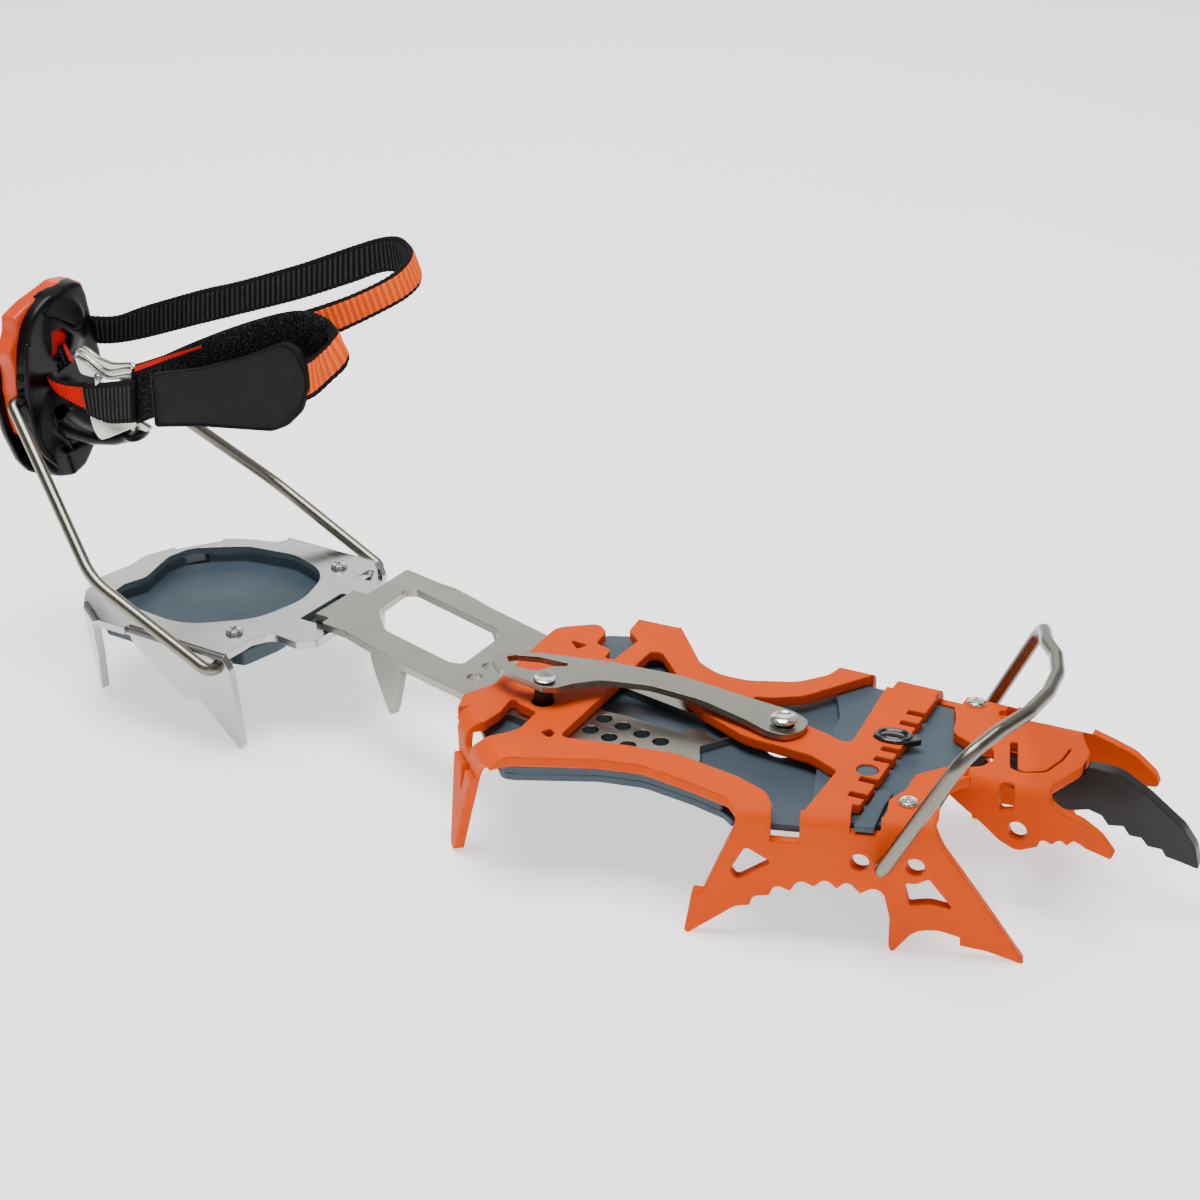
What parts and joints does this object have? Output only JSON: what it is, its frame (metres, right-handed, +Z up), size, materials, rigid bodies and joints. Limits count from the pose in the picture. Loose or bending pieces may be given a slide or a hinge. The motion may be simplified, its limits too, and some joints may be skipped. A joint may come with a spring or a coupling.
{
  "type": "crampon",
  "caption": "Adjustable mountaineering crampon: folded toothed front frame, sliding linking bar, heel plate, wire toe and heel bails, heel lever with ankle strap.",
  "frame": {"origin": "plan centre of the bounding box, on the ground plane that the spike tips stand on", "axes": "+X from heel to toe, +Y to the inner side of a right foot, +Z up"},
  "size_m": [0.3968, 0.114, 0.154],
  "materials": {
    "orange_powder_coat": "satin orange powder coat over steel",
    "stainless_bar": "fine-brushed bare stainless",
    "stainless_heel": "polished bare stainless",
    "spring_wire": "drawn stainless wire",
    "slate_plastic": "slate-grey satin moulded plastic",
    "black_plastic": "black satin moulded plastic",
    "orange_plastic": "red-orange glossy moulded plastic",
    "black_oxide": "black oxide",
    "screw_steel": "bright zinc",
    "webbing": "ribbed black webbing",
    "hook_tape": "hook-and-loop tape",
    "tab_fabric": "smooth black laminated tape",
    "buckle_steel": "bright stamped steel"
  },
  "bodies": {
    "front": {"front_frame": "orange_powder_coat", "front_antiball": "slate_plastic", "antiball_clip": "black_plastic", "front_screws": "screw_steel", "front_point": "black_oxide", "front_point_bolt": "screw_steel", "front_point_spacers": "screw_steel", "lever_rivet": "stainless_bar"},
    "leaf_lever": {"leaf_lever": "stainless_bar", "lever_pin": "black_oxide"},
    "bar": {"linking_bar": "stainless_bar"},
    "heel": {"heel_plate": "stainless_heel", "heel_antiball": "slate_plastic", "heel_screws": "screw_steel"},
    "toe_bail": {"toe_bail": "spring_wire"},
    "heel_bail": {"heel_bail": "spring_wire"},
    "heel_lever": {"heel_lever_body": "black_plastic", "heel_lever_cover": "orange_plastic", "heel_lever_back": "black_plastic", "strap_loop": "webbing", "strap_hook_patch": "hook_tape", "strap_tab": "tab_fabric", "strap_anchor": "webbing", "strap_keeper": "webbing", "buckle": "buckle_steel"}
  },
  "joints": [
    {"name": "bar_slide", "type": "slide", "parent": "front", "child": "bar", "axis": [0.9895, -0.1444, 0], "range_m": [-0.028, 0]},
    {"name": "heel_articulation", "type": "hinge", "parent": "bar", "child": "heel", "pos_m": [-0.0797, 0.00651, 0.035], "axis": [0, 1, 0], "range_deg": [0, 6]},
    {"name": "toe_bail_fold", "type": "hinge", "parent": "front", "child": "toe_bail", "pos_m": [0.12551, 0.01974, 0.0276], "axis": [-0.1045, 0.9945, 0], "range_deg": [-38, 35]},
    {"name": "leaf_lever_lift", "type": "hinge", "parent": "front", "child": "leaf_lever", "pos_m": [0.09058, 0.00099, 0.0411], "axis": [-0.1045, 0.9945, 0], "range_deg": [0, 4], "stiffness_Nm_per_rad": 2, "springref_deg": -2.86},
    {"name": "heel_bail_swing", "type": "hinge", "parent": "heel", "child": "heel_bail", "pos_m": [-0.09345, 0.00326, 0.03], "axis": [0, 1, 0], "range_deg": [-25, 40]},
    {"name": "heel_lever_flip", "type": "hinge", "parent": "heel_bail", "child": "heel_lever", "pos_m": [-0.18995, 0.00326, 0.092], "axis": [0, -1, 0], "range_deg": [-20, 60]}
  ]
}
